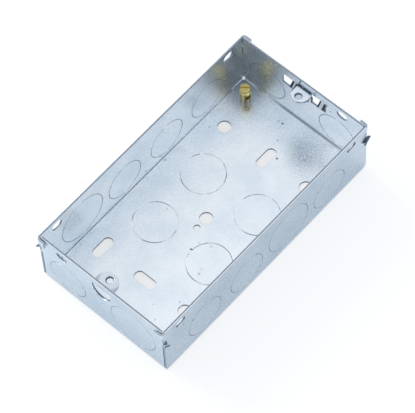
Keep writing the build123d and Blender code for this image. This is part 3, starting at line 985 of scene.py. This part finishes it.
def paper_floor(studio):
    """White card under the box. It shows white, and keeps a faint shadow."""
    radius, drop = 4.0, 0.02 * MM
    mirrored_glow, seen_glow = 0.82, 1.17
    mirrored_share, seen_share = 0.45, 0.65
    under_x, under_y, under_level = 66 * MM, 36 * MM, 0.84
    mesh = bpy.data.meshes.new("paper_floor")
    shape = bmesh.new()
    bmesh.ops.create_circle(shape, cap_ends=True, segments=96, radius=radius)
    shape.to_mesh(mesh)
    shape.free()
    floor = bpy.data.objects.new("paper_floor", mesh)
    floor.location.z = -drop
    bpy.context.scene.collection.objects.link(floor)
    material, tree, shader = new_material("Matt white card")
    shader.inputs["Base Color"].default_value = studio.floor_colour
    shader.inputs["Roughness"].default_value = 0.9
    shader.inputs["Specular IOR Level"].default_value = 0.1
    straight = add_node(tree, "ShaderNodeLightPath").outputs["Is Camera Ray"]
    strength = add_node(
        tree, "ShaderNodeMix",
        {"data_type": "FLOAT", 2: mirrored_glow, 3: seen_glow}, {0: straight})
    # The card under the box gets less light
    place = add_node(tree, "ShaderNodeTexCoord").outputs["Object"]
    spot = add_node(tree, "ShaderNodeSeparateXYZ", links={0: place}).outputs
    along = add_node(
        tree, "ShaderNodeMath", {"operation": "COMPARE", 1: 0.0, 2: under_x}, {0: spot["X"]})
    across = add_node(
        tree, "ShaderNodeMath", {"operation": "COMPARE", 1: 0.0, 2: under_y}, {0: spot["Y"]})
    under = add_node(
        tree, "ShaderNodeMath", {"operation": "MULTIPLY"},
        {0: along.outputs["Value"], 1: across.outputs["Value"]})
    shade = add_node(
        tree, "ShaderNodeMapRange", {"To Min": 1.0, "To Max": under_level},
        {"Value": under.outputs["Value"]})
    strength = add_node(
        tree, "ShaderNodeMath", {"operation": "MULTIPLY"},
        {0: strength.outputs[0], 1: shade.outputs["Result"]})
    tint = add_node(
        tree, "ShaderNodeMix", {"data_type": "RGBA", 6: studio.floor_glow, 7: (1, 1, 1, 1)},
        {0: straight})
    glow = add_node(
        tree, "ShaderNodeEmission",
        links={"Color": tint.outputs[2], "Strength": strength.outputs["Value"]})
    level = add_node(
        tree, "ShaderNodeMix",
        {"data_type": "FLOAT", 2: mirrored_share, 3: seen_share}, {0: straight})
    share = add_node(
        tree, "ShaderNodeMath", {"operation": "MULTIPLY"},
        {0: seen_rays(tree), 1: level.outputs[0]})
    mixed = add_node(
        tree, "ShaderNodeMixShader",
        links={0: share.outputs["Value"], 1: shader.outputs["BSDF"], 2: glow.outputs["Emission"]},
    )
    output = next(node for node in tree.nodes if node.type == "OUTPUT_MATERIAL")
    tree.links.new(mixed.outputs["Shader"], output.inputs["Surface"])
    floor.data.materials.append(material)


def light_tent(scene, studio):
    """A white light tent. Its mouth, where the camera looks in, is dark."""
    core_share, edge_share = 0.6, 1.3
    tent_above, room_below = 0.45, 0.05
    world = bpy.data.worlds.new("Light tent")
    scene.world = world
    world.use_nodes = True
    tree = world.node_tree
    tree.nodes.clear()
    direction = add_node(tree, "ShaderNodeTexCoord").outputs["Generated"]
    mouth = Vector((-0.3415, -0.3385, 0.8768)).normalized()
    toward = add_node(
        tree, "ShaderNodeVectorMath", {"operation": "DOT_PRODUCT", 1: mouth}, {0: direction},
    )
    inner = math.cos(studio.mouth_width * core_share)
    outer = math.cos(studio.mouth_width * edge_share)
    dark = add_node(
        tree, "ShaderNodeMapRange",
        {"interpolation_type": "SMOOTHSTEP", "From Min": outer, "From Max": inner},
        {"Value": toward.outputs["Value"]},
    )
    rise = add_node(tree, "ShaderNodeSeparateXYZ", links={0: direction})
    low = add_node(
        tree, "ShaderNodeMapRange",
        {"interpolation_type": "SMOOTHSTEP", "From Min": tent_above, "From Max": room_below},
        {"Value": rise.outputs["Z"]},
    )
    wall = add_node(
        tree, "ShaderNodeMix",
        {"data_type": "RGBA", 6: studio.sky_light, 7: studio.sky_low},
        {0: low.outputs["Result"]},
    )
    tent = add_node(
        tree, "ShaderNodeMix",
        {"data_type": "RGBA", 7: studio.sky_dark},
        {0: dark.outputs["Result"], 6: wall.outputs[2]},
    )
    camera_ray = add_node(tree, "ShaderNodeLightPath").outputs["Is Camera Ray"]
    shown = add_node(
        tree, "ShaderNodeMix", {"data_type": "RGBA", 7: (1, 1, 1, 1)},
        {0: camera_ray, 6: tent.outputs[2]},
    )
    glow = add_node(tree, "ShaderNodeBackground", {"Strength": 1.0}, {"Color": shown.outputs[2]})
    add_node(tree, "ShaderNodeOutputWorld", links={"Surface": glow.outputs["Background"]})


def soft_lamp(scene):
    """One large soft lamp behind the left long wall, so the shadow falls to the right."""
    lamp = bpy.data.lights.new("Large soft lamp", "AREA")
    lamp.shape = "RECTANGLE"
    side, watts = 1.2, 27.0
    lamp.size = side
    lamp.size_y = side
    lamp.energy = watts
    holder = bpy.data.objects.new("Large soft lamp", lamp)
    spot = Vector((-0.1, 1.75, 1.0))
    holder.location = spot
    holder.rotation_euler = (-spot).to_track_quat("-Z", "Y").to_euler()
    scene.collection.objects.link(holder)


def camera(scene, studio):
    """The camera, high over the near end, with a long lens."""
    data = bpy.data.cameras.new("Camera")
    data.sensor_width = 36
    data.lens = studio.camera_lens
    data.clip_end = 20
    holder = bpy.data.objects.new("Camera", data)
    spot = Vector((-422.07, -419.51, 1097.03)) * MM
    aim = Vector((5.211, 3.966, 0.0)) * MM
    roll = math.radians(-3.681)
    facing = (aim - spot).to_track_quat("-Z", "Y").to_matrix()
    turned = facing @ Matrix.Rotation(roll, 3, "Z")
    holder.matrix_world = Matrix.Translation(spot) @ turned.to_4x4()
    scene.collection.objects.link(holder)
    scene.camera = holder


class BACKBOX_PT_panel(Panel):
    bl_idname = "BACKBOX_PT_panel"
    bl_label = "Back Box"
    bl_space_type = "VIEW_3D"
    bl_region_type = "UI"
    bl_category = "Back Box"

    def draw(self, context):
        for operator in OPERATORS:
            self.layout.operator(operator.bl_idname)


OPERATORS = (
    BACKBOX_OT_box_shell,
    BACKBOX_OT_knockout_burrs,
    BACKBOX_OT_sliding_lug,
    BACKBOX_OT_earth_terminal,
    BACKBOX_OT_lug_threads,
    BACKBOX_OT_studio,
)
CLASSES = (SheetFinish, TerminalFinish, StudioSettings, *OPERATORS, BACKBOX_PT_panel)


def register():
    for entry in CLASSES:
        bpy.utils.register_class(entry)
    bpy.types.Scene.backbox_sheet = PointerProperty(type=SheetFinish)
    bpy.types.Scene.backbox_terminal = PointerProperty(type=TerminalFinish)
    bpy.types.Scene.backbox_studio = PointerProperty(type=StudioSettings)


def unregister():
    del bpy.types.Scene.backbox_studio
    del bpy.types.Scene.backbox_terminal
    del bpy.types.Scene.backbox_sheet
    for entry in reversed(CLASSES):
        bpy.utils.unregister_class(entry)


def main():
    register()
    bpy.ops.backbox.box_shell()
    bpy.ops.backbox.knockout_burrs()
    bpy.ops.backbox.sliding_lug()
    bpy.ops.backbox.earth_terminal()
    bpy.ops.backbox.lug_threads()
    bpy.ops.backbox.studio()


if __name__ == "__main__":
    main()
